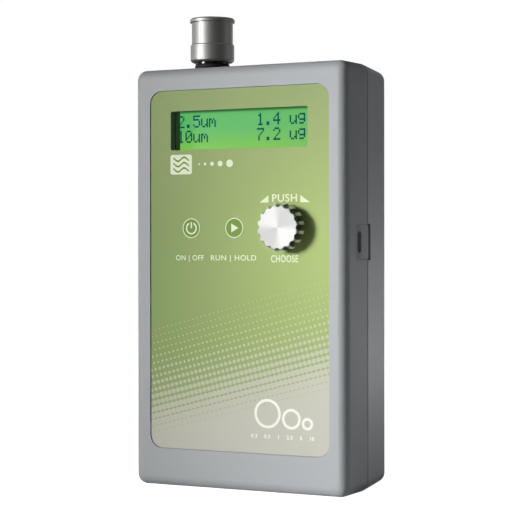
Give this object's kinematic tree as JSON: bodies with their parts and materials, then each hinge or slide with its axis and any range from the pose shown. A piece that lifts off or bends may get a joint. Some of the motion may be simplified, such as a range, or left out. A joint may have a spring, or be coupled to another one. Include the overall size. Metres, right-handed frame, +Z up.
{
  "type": "airborne particle counter",
  "caption": "Handheld air particle counter: upright plastic case with an inlet nozzle on top, a display window, round keys, a turn-and-press knob and side latches.",
  "frame": {"origin": "on the base, in the middle of the case's width, just behind the seam of the two shells", "axes": "+Z up through the inlet nozzle, +Y from the front panel to the back, +X to the right seen from the front"},
  "size_m": [0.0944, 0.0485, 0.1888],
  "materials": {
    "case_plastic": "fine-textured grey moulded plastic",
    "panel_print": "printed satin film, green fading to beige",
    "clear_lens": "clear acrylic",
    "black_foam": "closed-cell foam",
    "black_metal": "black painted sheet",
    "display_glass": "green liquid-crystal glass",
    "light_guide": "diffusing acrylic",
    "circuit_board": "green solder mask",
    "chip_black": "moulded epoxy",
    "knob_aluminium": "turned bright aluminium",
    "screw_steel": "zinc-plated steel",
    "encoder_metal": "nickel-plated",
    "black_plastic": "black moulded plastic",
    "nozzle_metal": "turned nickel-plated metal",
    "brass": "turned brass",
    "seal_rubber": "black rubber",
    "anodised_black": "black anodised aluminium",
    "mirror_coat": "coated mirror",
    "motor_steel": "drawn steel can",
    "filter_plastic": "white polypropylene",
    "tube_silicone": "silicone rubber",
    "battery_wrap": "heat-shrunk film",
    "trimmer_blue": "blue moulded plastic"
  },
  "bodies": {
    "case": {"battery_pack": "battery_wrap", "battery_strap": "motor_steel", "board_parts": "chip_black", "case_screws": "screw_steel", "charger_jack": "black_plastic", "collecting_mirror": "mirror_coat", "detector_board": "circuit_board", "display_gasket": "black_foam", "display_window": "clear_lens", "encoder_base": "black_plastic", "encoder_body": "encoder_metal", "exhaust_filter": "filter_plastic", "exhaust_tube": "tube_silicone", "flow_trimmer_body": "trimmer_blue", "front_label": "panel_print", "front_shell": "case_plastic", "inlet_nozzle": "nozzle_metal", "inlet_tube": "tube_silicone", "laser_module": "brass", "lcd_backlight": "light_guide", "lcd_bezel": "black_metal", "lcd_board": "circuit_board", "lcd_glass": "display_glass", "light_trap": "anodised_black", "main_board": "circuit_board", "nozzle_collar": "black_plastic", "nozzle_nut": "brass", "nozzle_seal": "seal_rubber", "panel_screws": "screw_steel", "photodetector": "encoder_metal", "power_switch": "black_plastic", "pump_head": "black_plastic", "pump_motor": "motor_steel", "pump_strap": "motor_steel", "rear_shell": "case_plastic", "sensor_block": "anodised_black", "sensor_cover": "anodised_black", "sensor_screws": "screw_steel", "start_switch": "black_plastic", "strap_screws": "screw_steel", "suction_tube": "tube_silicone", "usb_socket": "encoder_metal"},
    "knob_rotor": {"encoder_rotor": "black_plastic"},
    "press_knob": {"knob": "knob_aluminium", "knob_set_screw": "screw_steel", "encoder_shaft": "encoder_metal"},
    "power_button": {"power_key": "panel_print", "power_plunger": "black_plastic"},
    "start_button": {"start_key": "panel_print", "start_plunger": "black_plastic"},
    "flow_adjuster": {"flow_trimmer_screw": "brass"},
    "pump_shaft": {"pump_crank": "screw_steel"}
  },
  "joints": [
    {"name": "knob_turn", "type": "hinge", "parent": "case", "child": "knob_rotor", "pos_m": [0.0203, -0.0272, 0.1024], "axis": [0, 1, 0], "continuous": true},
    {"name": "knob_press", "type": "slide", "parent": "knob_rotor", "child": "press_knob", "axis": [0, 1, 0], "range_m": [0, 0.0004], "stiffness_N_per_m": 4000, "springref_m": -0.0001},
    {"name": "power_press", "type": "slide", "parent": "case", "child": "power_button", "axis": [0, 1, 0], "range_m": [0, 0.00035], "stiffness_N_per_m": 3000, "springref_m": -0.0001},
    {"name": "start_press", "type": "slide", "parent": "case", "child": "start_button", "axis": [0, 1, 0], "range_m": [0, 0.00035], "stiffness_N_per_m": 3000, "springref_m": -0.0001},
    {"name": "flow_adjust", "type": "hinge", "parent": "case", "child": "flow_adjuster", "pos_m": [-0.0435, -0.0077, 0.08], "axis": [-1, 0, 0], "range_deg": [-135, 135]},
    {"name": "pump_spin", "type": "hinge", "parent": "case", "child": "pump_shaft", "pos_m": [-0.014, 0.0073, 0.076], "axis": [1, 0, 0], "continuous": true}
  ]
}
